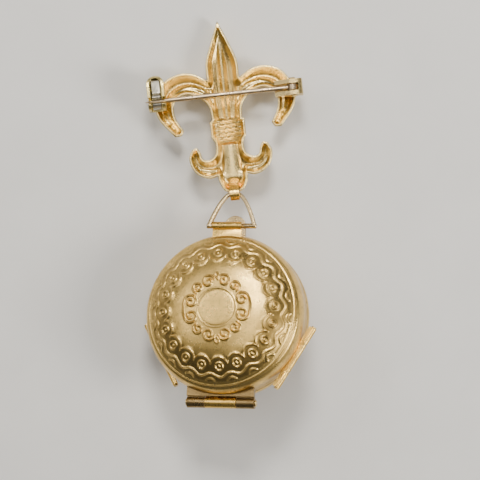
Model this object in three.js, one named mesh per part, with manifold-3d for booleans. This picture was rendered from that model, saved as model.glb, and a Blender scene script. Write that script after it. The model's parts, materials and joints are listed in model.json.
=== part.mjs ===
// Locket brooch: a fleur-de-lis pin with a round folding photo locket hanging from it by a stirrup bail.
// It lies face down, so +Z points to the back of the brooch. Millimetres throughout.
// Origin: on the resting plane, under the middle of the whole piece; +Y runs to the brooch's tip.
import * as THREE from "three";
import { mergeVertices } from "three/addons/utils/BufferGeometryUtils.js";
import Module from "manifold-3d";

const wasm = await Module();
wasm.setup();

// ---- driving dimensions -------------------------------------------------------------------------
const ROUND_STEPS = 48;          // facets round the locket
const SMALL_STEPS = 20;          // facets round pins and knuckles
const STEM_STEPS = 12;           // facets round the pin stem
const FIT = 0.04;                // gap between faces that touch
const SPARE = 0.1;               // how far a cutter or an embedded end runs past a face
const RUNNING = 0.05;            // radial clearance of a pin in its bore

const CASE_R = 11.5;             // locket radius over the side wall
const RIM_R = 10.66;             // radius of the raised line round each cover
const DOME = 3.1;                // height of a cover's dome inside that line
const DOME_POWER = 3.3;          // flat in the middle, steep at the edge
const SHOULDER = 2.1;            // height of the rounded edge between the line and the side wall
const COVER_DEPTH = 5.9;         // dome, shoulder and side wall together
const SHEET = 0.55;              // thickness of a cover's dome
const WALL = 0.9;                // thickness of its side wall
const LEAF_R = 11.47;
const LEAF_T = 0.75;             // thickness of an inner leaf
const LEAF_FLOOR = 0.18;
const LEAF_GAP = 0.05;           // between a cover and a leaf
const MID_GAP = 0.1;             // between the two leaves
const RECESS_R = 10.5;
const PHOTO_R = 10.35;
const PHOTO_T = 0.12;
const WINDOW_T = 0.14;
const BEZEL_R = 9.4;             // sight opening of a retaining ring
const BEZEL_OUT = 10.45;
const BEZEL_T = 0.14;
const CASE_H = 2 * COVER_DEPTH + 2 * LEAF_T + 2 * LEAF_GAP + MID_GAP;

const HINGE_HALF = 4.9;          // half length of a case hinge
const KNUCKLE_HALF = 2.25;       // half length of its middle knuckle
const KNUCKLE_GAP = 0.08;
const WING_H = 0.7;              // height of the plate that holds the knuckles
const BRIDGE_T = 0.19;           // its bar over a side hinge's middle knuckle
const BASE_WING_H = 0.4;         // the bottom hinge's plate leaves its barrel open to view
const BASE_BAR_H = 0.85;         // its bar stands behind the middle knuckle instead
const LEFT_HINGE = { axisR: 11.25, knuckleR: 0.38, pinR: 0.17 };
const RIGHT_HINGE = { axisR: 11.72, knuckleR: 0.45, pinR: 0.2 };
const BASE_HINGE = { axisR: 12.58, knuckleR: 0.78, pinR: 0.3 };
const PIN_HEAD = 0.15;           // how far a peened pin end stands out all round
const PIN_HEAD_T = 0.2;
const FLAT_GAP = 0.07;           // between a side hinge's knuckles and the flat cut behind them
const FLAT_SPARE = 0.3;
const BACK_HINGE_TURN = 180;     // six o'clock, degrees from the bail, seen from the back
const MID_HINGE_TURN = -120;     // four o'clock
const FRONT_HINGE_TURN = 120;    // eight o'clock
const CORE_R = 9;                // radius well inside the case wall, where soldered plates start

const TUBE_Y = 12.5;             // bail tube, in the locket's frame
const TUBE_Z = CASE_H - DOME - 0.5;
const TUBE_R = 0.6;
const TUBE_HALF = 2.12;
const STUB_R = 0.3;              // turned-in ends of the bail
const STUB_IN = 1.2;
const BAIL_LENGTH = 4.95;        // tube axis to the middle of the top bend
const BAIL_HALF = 3.33;          // centre of an arm from the middle
const BAIL_SHIFT = 0.6;          // how far the bail has slid along the tube in its play
const BAIL_THICK = 0.6;
const BAIL_WIDE = 0.74;
const BAIL_CHAMFER = 0.12;
const NECK_LOW = 0.5;            // neck plate, below and above the tube axis
const NECK_HIGH = 0.15;
const TAB_R = 1.6;
const TAB_REACH = 15.0;          // thumb tab's tip from the locket's centre
const TAB_T = 0.5;
const TAB_DROP = 0.05;

const SHELL_H = 2.2;             // depth of the stamped brooch
const SHELL_EDGE = 0.36;
const SHELL_FLOOR = 0.5;
const SHELL_ROUND = 0.6;         // height over which its front edge is rounded
const STRAP_HALF = 0.66;
const STRAP_Y = -0.45;           // bail's top bend, from the foot of the brooch
const STRAP_Z = 2.65;
const STRAP_IN = 0.74;
const STRAP_OUT = 0.98;
const NOTCH_PLAY = 0.1;          // the strap's notch in the foot of the shell
const NOTCH_REACH = 1.6;
const NOTCH_DEPTH = 0.64;
const PIN_Y = 13.75;
const PIN_Z = 3.9;
const PIN_R = 0.35;
const PIN_TIP_X = -11.4;
const JOINT_X = 9.85;
const RIVET_R = 0.3;
const EYE_R = 0.8;
const EYE_HALF = 0.45;
const EAR_T = 0.6;
const CATCH_X = -9.66;
const CATCH_HALF = 1.25;
const CATCH_WALL = 0.45;
const CATCH_Y0 = 12.4;
const CATCH_Y1 = 17.4;
const CATCH_Z1 = 5.2;
const ROTOR_R = 1.22;
const ROTOR_BORE = 0.46;
const ROTOR_HALF = 0.62;
const CATCH_CORNER = 1.3;
const LEVER_ROOT = 0.8;
const LEVER_REACH = 3.0;
const LEVER_HALF = 0.3;
const JOINT_BACK = 2.6;          // joint bracket, behind and beyond the rivet
const JOINT_FRONT = 1.4;
const EYE_PLAY = 0.08;

// How it lies: the locket leans on its dome, the bail holds up the brooch's foot and its tip is down.
const LOCKET_TURN = -7.2;
const LOCKET_LEAN = 22;
const LEAN_TOWARDS = 121.4;        // plan direction of the lean, degrees from +X
const BAIL_FOLD = 7;
const BROOCH_SLOPE = 6.88;

const rad = THREE.MathUtils.degToRad;

// ---- materials ------------------------------------------------------------------------------------
function metal(color, roughness) {
  return new THREE.MeshStandardMaterial({ color, roughness, metalness: 1 });
}
const ANTIQUE_GOLD = metal(0xa88b62, 0.32);
const BRIGHT_GOLD = metal(0xd9a95c, 0.28);
const PALE_GOLD = metal(0xd8b878, 0.3);
const PIN_METAL = metal(0xb59a7c, 0.3);
const STEEL = metal(0xb9b4a6, 0.3);
const CARD = new THREE.MeshStandardMaterial({ color: 0xe6ddc8, roughness: 0.85, metalness: 0 });
const ACETATE = new THREE.MeshStandardMaterial({
  color: 0xf4f2ea, roughness: 0.12, metalness: 0, transparent: true, opacity: 0.35,
});

// ---- solids ---------------------------------------------------------------------------------------
// Merge shared vertices, drop triangles without area and turn the faces outwards.
function closed(geometry) {
  const bare = geometry.clone();
  bare.deleteAttribute("normal");
  bare.deleteAttribute("uv");
  const merged = mergeVertices(bare, 1e-4);
  const at = merged.attributes.position;
  const kept = [];
  let volume = 0;
  const [a, b, c] = [new THREE.Vector3(), new THREE.Vector3(), new THREE.Vector3()];
  for (let i = 0; i < merged.index.count; i += 3) {
    const tri = [0, 1, 2].map((k) => merged.index.getX(i + k));
    if (new Set(tri).size < 3) continue;
    a.fromBufferAttribute(at, tri[0]);
    b.fromBufferAttribute(at, tri[1]);
    c.fromBufferAttribute(at, tri[2]);
    volume += a.dot(b.clone().cross(c));
    kept.push(tri);
  }
  merged.setIndex((volume < 0 ? kept.map((t) => t.reverse()) : kept).flat());
  return merged;
}

function solid(geometry) {
  const shape = closed(geometry);
  const vertProperties = new Float32Array(shape.attributes.position.array);
  const triVerts = new Uint32Array(shape.index.array);
  return new wasm.Manifold(new wasm.Mesh({ numProp: 3, vertProperties, triVerts }));
}

function geometryOf(body) {
  const { vertProperties, triVerts, numProp } = body.getMesh();
  const at = [];
  for (let i = 0; i < vertProperties.length; i += numProp) {
    at.push(vertProperties[i], vertProperties[i + 1], vertProperties[i + 2]);
  }
  const geometry = new THREE.BufferGeometry();
  geometry.setAttribute("position", new THREE.Float32BufferAttribute(at, 3));
  geometry.setIndex([...triVerts]);
  return geometry;
}

function joined(...geometries) {
  return geometries.map(solid).reduce((sum, next) => sum.add(next));
}

// Revolved about Z: points are [radius, height].
function turned(points, steps = ROUND_STEPS) {
  const profile = points.map(([r, z]) => new THREE.Vector2(r, z));
  return new THREE.LatheGeometry(profile, steps).rotateX(Math.PI / 2);
}

function ring(inner, outer, low, high, steps = ROUND_STEPS) {
  return turned([[inner, low], [outer, low], [outer, high], [inner, high], [inner, low]], steps);
}

function disc(radius, low, high) {
  return turned([[0, low], [radius, low], [radius, high], [0, high]]);
}

function box(low, high) {
  const size = high.map((value, i) => value - low[i]);
  const middle = high.map((value, i) => (value + low[i]) / 2);
  return new THREE.BoxGeometry(...size).translate(...middle);
}

// A rod along X or Y between two stations.
function rodX(radius, low, high, y, z, steps = SMALL_STEPS) {
  const rod = new THREE.CylinderGeometry(radius, radius, high - low, steps);
  return rod.rotateZ(Math.PI / 2).translate((low + high) / 2, y, z);
}

function rodY(radius, low, high, x, z, steps = SMALL_STEPS) {
  const rod = new THREE.CylinderGeometry(radius, radius, high - low, steps);
  return rod.translate(x, (low + high) / 2, z);
}

// A YZ outline pushed along X, centred on x.
function slabX(outline, width, x) {
  const slab = new THREE.ExtrudeGeometry(outline, { depth: width, bevelEnabled: false });
  // Outline x becomes Y, outline y becomes Z and the depth becomes X.
  const turn = new THREE.Matrix4().makeBasis(
    new THREE.Vector3(0, 1, 0), new THREE.Vector3(0, 0, 1), new THREE.Vector3(1, 0, 0),
  );
  return slab.applyMatrix4(turn).translate(x - width / 2, 0, 0);
}

function polygon(points) {
  return new THREE.Shape(points.map(([x, y]) => new THREE.Vector2(x, y)));
}

const part = new THREE.Group();

function add(name, shape, material, parent = part) {
  const geometry = shape instanceof THREE.BufferGeometry ? closed(shape) : geometryOf(shape);
  geometry.computeVertexNormals();
  const mesh = new THREE.Mesh(geometry, material);
  mesh.name = name;
  parent.add(mesh);
}

// ---- brooch ---------------------------------------------------------------------------------------
const brooch = new THREE.Group();
brooch.name = "brooch_frame";
brooch.rotation.x = -rad(BROOCH_SLOPE);
part.add(brooch);

// Right half of the fleur-de-lis as smooth runs between its corners, from the tip to the foot.
const FLEUR_RUNS = [
  [[0, 24.6], [1.35, 21.3], [2.25, 18.7], [2.3, 16.2]],
  [[2.3, 16.2], [4.3, 17.35], [6.5, 17.5], [8.6, 16.5], [10.0, 14.0], [9.8, 11.4], [7.7, 8.6]],
  [[7.7, 8.6], [6.8, 8.65], [6.35, 9.3]],
  [[6.35, 9.3], [7.4, 11.4], [7.3, 13.5], [5.6, 14.5], [3.5, 13.7], [2.4, 12.3], [2.15, 10.4]],
  [[2.15, 10.4], [2.5, 10.2]],
  [[2.5, 10.2], [2.5, 7.9]],
  [[2.5, 7.9], [2.0, 6.9], [2.15, 5.5], [3.1, 4.75], [4.0, 4.95], [4.3, 5.9]],
  [[4.3, 5.9], [4.75, 6.6], [5.45, 6.45]],
  [[5.45, 6.45], [6.0, 5.2], [5.6, 3.6], [4.5, 2.5], [3.2, 2.1], [2.15, 2.35]],
  [[2.15, 2.35], [2.0, 1.4], [1.5, 0.3], [0.8, -0.15]],
];

function fleurOutline() {
  const right = FLEUR_RUNS.flatMap((run) => {
    const curve = new THREE.SplineCurve(run.map(([x, y]) => new THREE.Vector2(x, y)));
    return run.length === 2 ? [curve.points[0]] : curve.getPoints(2 * run.length - 2).slice(0, -1);
  });
  const foot = new THREE.Vector2(...FLEUR_RUNS.at(-1).at(-1));
  const half = [...right, foot];
  const left = half.slice(1).reverse().map((p) => new THREE.Vector2(-p.x, p.y));
  return new THREE.Shape([...half, ...left]);
}

function fleurShell() {
  const outline = fleurOutline();
  const body = new THREE.ExtrudeGeometry(outline, {
    depth: SHELL_H,
    bevelEnabled: true,
    bevelThickness: SHELL_ROUND,
    bevelSize: SHELL_EDGE,
    bevelOffset: -SHELL_EDGE,
    bevelSegments: 2,
  }).translate(0, 0, SHELL_ROUND);
  const hollow = new THREE.ExtrudeGeometry(outline, {
    depth: SHELL_H,
    bevelEnabled: true,
    bevelThickness: FIT,
    bevelSize: 0,
    bevelOffset: -SHELL_EDGE,
    bevelSegments: 1,
  }).translate(0, 0, SHELL_FLOOR + FIT);
  const notch = box(
    [-STRAP_HALF - NOTCH_PLAY, -NOTCH_REACH, STRAP_Z - STRAP_OUT - NOTCH_PLAY],
    [STRAP_HALF + NOTCH_PLAY, NOTCH_DEPTH, 2 * SHELL_H],
  );
  const slice = box([-20, -10, 0], [20, 30, SHELL_H]);
  return solid(body).subtract(solid(hollow)).subtract(solid(notch)).intersect(solid(slice));
}

// A strip soldered in the hollow foot, over the bail's top bend and back under it.
function hangerStrap() {
  const wide = 2 * STRAP_HALF;
  const loop = rodX(STRAP_OUT, -STRAP_HALF, STRAP_HALF, STRAP_Y, STRAP_Z);
  const eye = rodX(STRAP_IN, -STRAP_HALF - 1, STRAP_HALF + 1, STRAP_Y, STRAP_Z);
  const foot = SHELL_FLOOR + FIT;
  const tail = slabX(polygon([
    [0.05, 3.3], [0.6, 2.9], [1.25, foot + 0.25], [2.1, foot + 0.25], [2.1, foot],
    [1.05, foot], [0.36, 2.55], [-0.05, 2.9],
  ]), wide, 0);
  return joined(loop, tail).subtract(solid(eye));
}

// A strip folded into a hairpin that stands on the petal, with a slot for the pin.
function catchHousing() {
  const base = SHELL_H + FIT;
  const hairpin = (half, low, high) => {
    const outline = new THREE.Shape();
    outline.moveTo(-half, low);
    outline.lineTo(half, low);
    outline.lineTo(half, high - half);
    outline.absarc(0, high - half, half, 0, Math.PI, false);
    outline.lineTo(-half, low);
    return outline;
  };
  const options = { depth: CATCH_Z1 - base, bevelEnabled: false, curveSegments: 8 };
  const outer = new THREE.ExtrudeGeometry(hairpin(CATCH_HALF, CATCH_Y0, CATCH_Y1), options);
  const gap = CATCH_HALF - CATCH_WALL;
  const inner = new THREE.ExtrudeGeometry(hairpin(gap, CATCH_Y0 - 1, CATCH_Y1 - CATCH_WALL), options);
  outer.translate(CATCH_X, 0, base);
  inner.translate(CATCH_X, 0, base + CATCH_WALL / 2);
  const [floor, top, far] = [base - SPARE, CATCH_Z1 + SPARE, CATCH_Y1 + SPARE];
  const side = new THREE.Shape();
  side.moveTo(CATCH_Y0, floor);
  side.lineTo(far, floor);
  side.lineTo(far, CATCH_Z1 - CATCH_CORNER);
  side.quadraticCurveTo(CATCH_Y1, CATCH_Z1, CATCH_Y1 - 2 * CATCH_CORNER, top);
  side.lineTo(CATCH_Y0 + CATCH_CORNER, top);
  side.quadraticCurveTo(CATCH_Y0, CATCH_Z1, CATCH_Y0, CATCH_Z1 - CATCH_CORNER);
  side.lineTo(CATCH_Y0, floor);
  const trim = slabX(side, 2 * CATCH_HALF + 1, CATCH_X);
  const [left, right] = [CATCH_X - 2 * CATCH_HALF, CATCH_X + 2 * CATCH_HALF];
  const slot = box([left, PIN_Y - ROTOR_BORE, PIN_Z], [right, PIN_Y + ROTOR_BORE, 2 * CATCH_Z1]);
  const seat = rodX(ROTOR_BORE, left, right, PIN_Y, PIN_Z);
  return solid(outer).subtract(solid(inner)).intersect(solid(trim))
    .subtract(solid(slot)).subtract(solid(seat));
}

// A split ring round the pin with a lever; turning it closes the slot over the pin.
function catchRotor() {
  const [low, high] = [CATCH_X - ROTOR_HALF, CATCH_X + ROTOR_HALF];
  const wheel = rodX(ROTOR_R, low, high, PIN_Y, PIN_Z);
  const lever = box(
    [low, PIN_Y + LEVER_ROOT, PIN_Z - LEVER_HALF],
    [high, PIN_Y + LEVER_REACH, PIN_Z + LEVER_HALF],
  );
  const bore = rodX(ROTOR_BORE, low - 1, high + 1, PIN_Y, PIN_Z);
  const mouth = box(
    [low - 1, PIN_Y - ROTOR_BORE, PIN_Z],
    [high + 1, PIN_Y + ROTOR_BORE, PIN_Z + 2 * ROTOR_R],
  );
  return joined(wheel, lever).subtract(solid(bore)).subtract(solid(mouth));
}

// Two ears on a base, closed round the outer end.
function pinJoint() {
  const base = SHELL_H + FIT;
  const half = EYE_HALF + EYE_PLAY;
  const top = PIN_Z + EYE_R;
  const [x0, x1] = [JOINT_X - JOINT_BACK, JOINT_X + JOINT_FRONT];
  const outer = box([x0, PIN_Y - half - EAR_T, base], [x1, PIN_Y + half + EAR_T, top]);
  const inner = box([x0 - 1, PIN_Y - half, base + EAR_T], [x1 - EAR_T, PIN_Y + half, top + 1]);
  const ears = new THREE.Shape();
  ears.moveTo(x0, base - SPARE);
  ears.lineTo(x1 + SPARE, base - SPARE);
  ears.lineTo(x1 + SPARE, PIN_Z);
  ears.quadraticCurveTo(x1 + SPARE, top + SPARE, JOINT_X, top + SPARE);
  ears.lineTo(JOINT_X - EYE_R, top - SPARE);
  ears.lineTo(x0, base + 3 * EAR_T);
  ears.lineTo(x0, base - SPARE);
  const deep = 2 * (half + EAR_T) + 1;
  const trim = new THREE.ExtrudeGeometry(ears, { depth: deep, bevelEnabled: false, curveSegments: 5 });
  trim.rotateX(Math.PI / 2).translate(0, PIN_Y + deep / 2, 0);
  const bore = rodY(RIVET_R + FIT, PIN_Y - deep, PIN_Y + deep, JOINT_X, PIN_Z);
  return solid(outer).subtract(solid(inner)).intersect(solid(trim)).subtract(solid(bore));
}

function pinRivet() {
  const reach = EYE_HALF + EYE_PLAY + EAR_T + FIT;
  const shank = rodY(RIVET_R, PIN_Y - reach - SPARE, PIN_Y + reach + SPARE, JOINT_X, PIN_Z);
  const heads = [-reach - PIN_HEAD_T, reach].map((y) => (
    rodY(RIVET_R + PIN_HEAD, PIN_Y + y, PIN_Y + y + PIN_HEAD_T, JOINT_X, PIN_Z)
  ));
  return joined(shank, ...heads);
}

function pinStem() {
  const eye = rodY(EYE_R, PIN_Y - EYE_HALF, PIN_Y + EYE_HALF, JOINT_X, PIN_Z);
  const reach = JOINT_X - PIN_TIP_X;
  const stem = turned([
    [0, PIN_R], [PIN_R, PIN_R], [PIN_R, reach - 5], [0.27, reach - 1.6], [0.1, reach - 0.3], [0, reach],
  ], STEM_STEPS);
  stem.rotateY(-Math.PI / 2).translate(JOINT_X, PIN_Y, PIN_Z);
  const bore = rodY(RIVET_R + RUNNING, PIN_Y - EYE_R, PIN_Y + EYE_R, JOINT_X, PIN_Z);
  return joined(eye, stem).subtract(solid(bore));
}

add("fleur_shell", fleurShell(), PALE_GOLD, brooch);
add("hanger_strap", hangerStrap(), BRIGHT_GOLD, brooch);
add("catch_housing", catchHousing(), PALE_GOLD, brooch);
add("catch_rotor", catchRotor(), STEEL, brooch);
add("pin_joint_bracket", pinJoint(), PALE_GOLD, brooch);
add("pin_rivet", pinRivet(), PALE_GOLD, brooch);
add("pin_stem", pinStem(), PIN_METAL, brooch);

// ---- locket ---------------------------------------------------------------------------------------
// Its own frame: origin at the top of the front dome, +Z through the case to the back, +Y to the bail.
const locket = new THREE.Group();
locket.name = "locket_frame";
const lean = new THREE.Vector3(-Math.sin(rad(LEAN_TOWARDS)), Math.cos(rad(LEAN_TOWARDS)), 0);
locket.quaternion
  .setFromAxisAngle(lean, rad(LOCKET_LEAN))
  .multiply(new THREE.Quaternion().setFromAxisAngle(new THREE.Vector3(0, 0, 1), rad(LOCKET_TURN)));
const bailTop = new THREE.Vector3(
  BAIL_SHIFT,
  TUBE_Y + BAIL_LENGTH * Math.cos(rad(BAIL_FOLD)),
  TUBE_Z - BAIL_LENGTH * Math.sin(rad(BAIL_FOLD)),
);
const strapEye = new THREE.Vector3(0, STRAP_Y, STRAP_Z).applyEuler(brooch.rotation);
locket.position.copy(strapEye).sub(bailTop.applyQuaternion(locket.quaternion));
part.add(locket);

// Bail: an arch of flat strip whose ends turn in to the tube.
const bail = new THREE.Group();
bail.name = "bail_frame";
bail.position.set(BAIL_SHIFT, TUBE_Y, TUBE_Z);
bail.rotation.x = -rad(BAIL_FOLD);
locket.add(bail);

function bailStirrup() {
  const arch = new THREE.CatmullRomCurve3([
    [-BAIL_HALF, 0], [-3.0, 1.0], [-2.45, 2.35], [-1.85, 3.5], [-1.2, 4.4], [-0.6, 4.87],
    [0, BAIL_LENGTH],
    [0.6, 4.87], [1.2, 4.4], [1.85, 3.5], [2.45, 2.35], [3.0, 1.0], [BAIL_HALF, 0],
  ].map(([x, y]) => new THREE.Vector3(x, y, 0)));
  const [t, w, cut] = [BAIL_THICK / 2, BAIL_WIDE / 2, BAIL_CHAMFER];
  const section = polygon([
    [-w, -t + cut], [-w + cut, -t], [w - cut, -t], [w, -t + cut],
    [w, t - cut], [w - cut, t], [-w + cut, t], [-w, t - cut],
  ]);
  const strip = new THREE.ExtrudeGeometry(section, {
    steps: 36, bevelEnabled: false, extrudePath: arch,
  });
  const ends = [-1, 1].flatMap((side) => {
    const outer = side * (BAIL_HALF + t);
    const shoulder = side * (TUBE_HALF + SPARE) - BAIL_SHIFT;
    const inner = side * (TUBE_HALF - STUB_IN) - BAIL_SHIFT;
    return [
      rodX(w, Math.min(outer, shoulder), Math.max(outer, shoulder), 0, 0),
      rodX(STUB_R, Math.min(outer, inner), Math.max(outer, inner), 0, 0),
    ];
  });
  return joined(strip, ...ends);
}
add("bail_stirrup", bailStirrup(), ANTIQUE_GOLD, bail);

// A cover's outer face, dome downwards at height 0, grown by a gap. The back cover is turned over.
function coverFace(gap) {
  const dome = [0, 0.3, 0.5, 0.65, 0.78, 0.88, 0.95].map((share) => (
    [share * (RIM_R + gap), DOME * share ** DOME_POWER - gap]
  ));
  const shoulder = new THREE.QuadraticBezierCurve(
    new THREE.Vector2(RIM_R + gap, DOME - gap),
    new THREE.Vector2(CASE_R + gap, DOME + 0.45 * SHOULDER),
    new THREE.Vector2(CASE_R + gap, DOME + SHOULDER),
  ).getPoints(5).map((p) => [p.x, p.y]);
  return [...dome, ...shoulder];
}

function coverShell() {
  const innerDome = [1, 0.95, 0.86, 0.74, 0.55, 0.3, 0].map((share) => (
    [share * (RIM_R - SHEET), SHEET + DOME * share ** DOME_POWER]
  ));
  const inner = CASE_R - WALL;
  return turned([
    ...coverFace(0),
    [CASE_R, COVER_DEPTH], [inner, COVER_DEPTH], [inner, DOME + SHOULDER],
    ...innerDome,
  ]);
}

// The room that the closed case takes, for cutting what is soldered to its wall.
function caseRoom() {
  const below = coverFace(FIT);
  const above = below.map(([r, z]) => [r, CASE_H - z]).reverse();
  return solid(turned([...below, ...above]));
}

// Turn a piece made for the front cover over to the back cover's place.
function turnedOver(geometry) {
  return geometry.rotateX(Math.PI).translate(0, 0, CASE_H);
}

function flatBehind({ axisR, knuckleR }) {
  return axisR - knuckleR - FLAT_GAP;
}

// A flat behind a side hinge, between two heights.
function cutFlat(body, sizes, turn, low, high) {
  const half = HINGE_HALF + FLAT_SPARE;
  const cutter = box([-half, flatBehind(sizes), low], [half, CASE_R + 1, high]);
  return body.subtract(solid(cutter.rotateZ(rad(turn))));
}

// Picture card, window and retaining ring, from the seat towards the opening.
function picture(prefix, seat, outwards, ringOut) {
  const layer = (make, offset, thick) => {
    const [a, b] = [seat + outwards * offset, seat + outwards * (offset + thick)];
    return make(Math.min(a, b), Math.max(a, b));
  };
  const photo = layer((low, high) => disc(PHOTO_R, low, high), 0, PHOTO_T);
  const windowAt = PHOTO_T + FIT;
  const bezelAt = windowAt + WINDOW_T + FIT;
  add(`${prefix}_photo`, photo, CARD, locket);
  const pane = layer((low, high) => disc(PHOTO_R, low, high), windowAt, WINDOW_T);
  add(`${prefix}_window`, pane, ACETATE, locket);
  const bezel = layer((low, high) => ring(BEZEL_R, ringOut, low, high), bezelAt, BEZEL_T);
  add(`${prefix}_bezel`, bezel, BRIGHT_GOLD, locket);
}
const COVER_SEAT = COVER_DEPTH - PHOTO_T - WINDOW_T - BEZEL_T - 3 * FIT;
const COVER_RING = CASE_R - WALL - FIT;

const LOW_LEAF_Z = COVER_DEPTH + LEAF_GAP;
const UP_LEAF_Z = LOW_LEAF_Z + LEAF_T + MID_GAP;
const BACK_SEAM = UP_LEAF_Z + LEAF_T + LEAF_GAP / 2;
const MID_SEAM = UP_LEAF_Z - MID_GAP / 2;
const FRONT_SEAM = COVER_DEPTH + LEAF_GAP / 2;
const POCKET_H = WING_H + FIT;

const frontShell = cutFlat(
  solid(coverShell()), LEFT_HINGE, FRONT_HINGE_TURN, FRONT_SEAM - POCKET_H, FRONT_SEAM,
);
add("front_cover_shell", frontShell, ANTIQUE_GOLD, locket);
picture("front_cover", COVER_SEAT, 1, COVER_RING);
add("back_cover_shell", turnedOver(coverShell()), ANTIQUE_GOLD, locket);
picture("back_cover", CASE_H - COVER_SEAT, -1, COVER_RING);

// A leaf is a shallow tray; the lower one opens downwards and the upper one upwards.
function leaf(low, opensUp) {
  const floor = opensUp ? low : low + LEAF_T;
  const away = opensUp ? 1 : -1;
  return turned([
    [0, floor], [LEAF_R, floor], [LEAF_R, floor + away * LEAF_T], [RECESS_R, floor + away * LEAF_T],
    [RECESS_R, floor + away * LEAF_FLOOR], [0, floor + away * LEAF_FLOOR],
  ]);
}
const halfCut = cutFlat(solid(leaf(LOW_LEAF_Z, false)), RIGHT_HINGE, MID_HINGE_TURN, 0, CASE_H);
const lowerLeaf = cutFlat(halfCut, LEFT_HINGE, FRONT_HINGE_TURN, 0, CASE_H);
add("lower_leaf_tray", lowerLeaf, ANTIQUE_GOLD, locket);
picture("lower_leaf", LOW_LEAF_Z + LEAF_T - LEAF_FLOOR - FIT, -1, BEZEL_OUT);
const upperLeaf = cutFlat(solid(leaf(UP_LEAF_Z, true)), RIGHT_HINGE, MID_HINGE_TURN, 0, CASE_H);
add("upper_leaf_tray", upperLeaf, ANTIQUE_GOLD, locket);
picture("upper_leaf", UP_LEAF_Z + LEAF_FLOOR + FIT, 1, BEZEL_OUT);

// Case hinges. The upper piece carries the two outer knuckles, the lower piece the middle one.
function hinge(name, [upper, upperMetal], lower, turn, axisZ, sizes) {
  const { axisR, knuckleR, pinR } = sizes;
  const place = new THREE.Group();
  place.name = `${name}_frame`;
  place.rotation.z = rad(turn);
  locket.add(place);
  // Side hinges sit in their flats; the bottom hinge stands off the round wall.
  const inset = axisR - knuckleR < CASE_R;
  const flat = box([-CORE_R, 0, 0], [CORE_R, flatBehind(sizes) + FIT / 2, CASE_H]);
  const wall = inset ? solid(flat) : caseRoom();
  const bore = solid(rodX(pinR + RUNNING, -CORE_R, CORE_R, axisR, axisZ));
  const end = KNUCKLE_HALF + KNUCKLE_GAP;
  const wingLow = axisZ + FIT;
  const wingHigh = axisZ + (inset ? WING_H : BASE_WING_H);
  const outer = [[end, HINGE_HALF], [-HINGE_HALF, -end]].flatMap(([a, b]) => [
    rodX(knuckleR, a, b, axisR, axisZ),
    box([a, CORE_R, wingLow], [b, axisR, wingHigh]),
  ]);
  const bridge = inset
    ? box([-HINGE_HALF, CORE_R, wingHigh - BRIDGE_T], [HINGE_HALF, axisR, wingHigh])
    : box([-HINGE_HALF, CORE_R, wingLow], [HINGE_HALF, axisR - knuckleR - RUNNING, axisZ + BASE_BAR_H]);
  const pair = joined(...outer, bridge).subtract(wall).subtract(bore);
  add(`${name}_${upper}_knuckles`, pair, upperMetal, place);
  const middle = rodX(knuckleR, -KNUCKLE_HALF, KNUCKLE_HALF, axisR, axisZ);
  const plate = box([-KNUCKLE_HALF, CORE_R, axisZ - WING_H], [KNUCKLE_HALF, axisR, axisZ - FIT]);
  const single = joined(middle, plate).subtract(wall).subtract(bore);
  add(`${name}_${lower}_knuckle`, single, BRIGHT_GOLD, place);
  const reach = HINGE_HALF + FIT;
  const pin = rodX(pinR, -reach - SPARE, reach + SPARE, axisR, axisZ);
  const heads = [-reach - PIN_HEAD_T, reach].map((x) => (
    rodX(pinR + PIN_HEAD, x, x + PIN_HEAD_T, axisR, axisZ)
  ));
  add(`${name}_pin`, joined(pin, ...heads), PALE_GOLD, place);
}
hinge("bottom_hinge", ["cover", ANTIQUE_GOLD], "leaf", BACK_HINGE_TURN, BACK_SEAM, BASE_HINGE);
hinge("right_hinge", ["upper", BRIGHT_GOLD], "lower", MID_HINGE_TURN, MID_SEAM, RIGHT_HINGE);
hinge("left_hinge", ["leaf", BRIGHT_GOLD], "cover", FRONT_HINGE_TURN, FRONT_SEAM, LEFT_HINGE);

// Neck: a plate from the back cover's wall that curls into the tube for the bail.
function bailTube() {
  const tube = rodX(TUBE_R, -TUBE_HALF, TUBE_HALF, TUBE_Y, TUBE_Z);
  const plate = box(
    [-TUBE_HALF, CORE_R, TUBE_Z - NECK_LOW],
    [TUBE_HALF, TUBE_Y, TUBE_Z + NECK_HIGH],
  );
  const bore = rodX(STUB_R + RUNNING, -TUBE_HALF - 1, TUBE_HALF + 1, TUBE_Y, TUBE_Z);
  return joined(tube, plate).subtract(solid(bore)).subtract(caseRoom());
}
add("bail_tube", bailTube(), BRIGHT_GOLD, locket);

// Thumb tab: a tongue on the front cover's wall, behind the bail tube.
function thumbTab() {
  const middle = TAB_REACH - TAB_R;
  const outline = new THREE.Shape();
  outline.moveTo(-TAB_R, CORE_R);
  outline.lineTo(TAB_R, CORE_R);
  outline.lineTo(TAB_R, middle);
  outline.absarc(0, middle, TAB_R, 0, Math.PI, false);
  outline.lineTo(-TAB_R, CORE_R);
  const tongue = new THREE.ExtrudeGeometry(outline, {
    depth: TAB_T, bevelEnabled: false, curveSegments: 8,
  });
  tongue.translate(0, 0, COVER_DEPTH - TAB_DROP - TAB_T);
  return solid(tongue).subtract(caseRoom());
}
add("thumb_tab", thumbTab(), ANTIQUE_GOLD, locket);

// Stand the whole piece on its resting plane, with the origin under its middle.
const reach = new THREE.Box3().setFromObject(part, true);
const middle = reach.getCenter(new THREE.Vector3());
for (const group of part.children) {
  group.position.sub(new THREE.Vector3(middle.x, middle.y, reach.min.z));
}

export default part;
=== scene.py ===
import json
import math

import bmesh
import bpy
import numpy as np
from mathutils import Matrix, Vector
from mathutils.geometry import delaunay_2d_cdt


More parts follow.
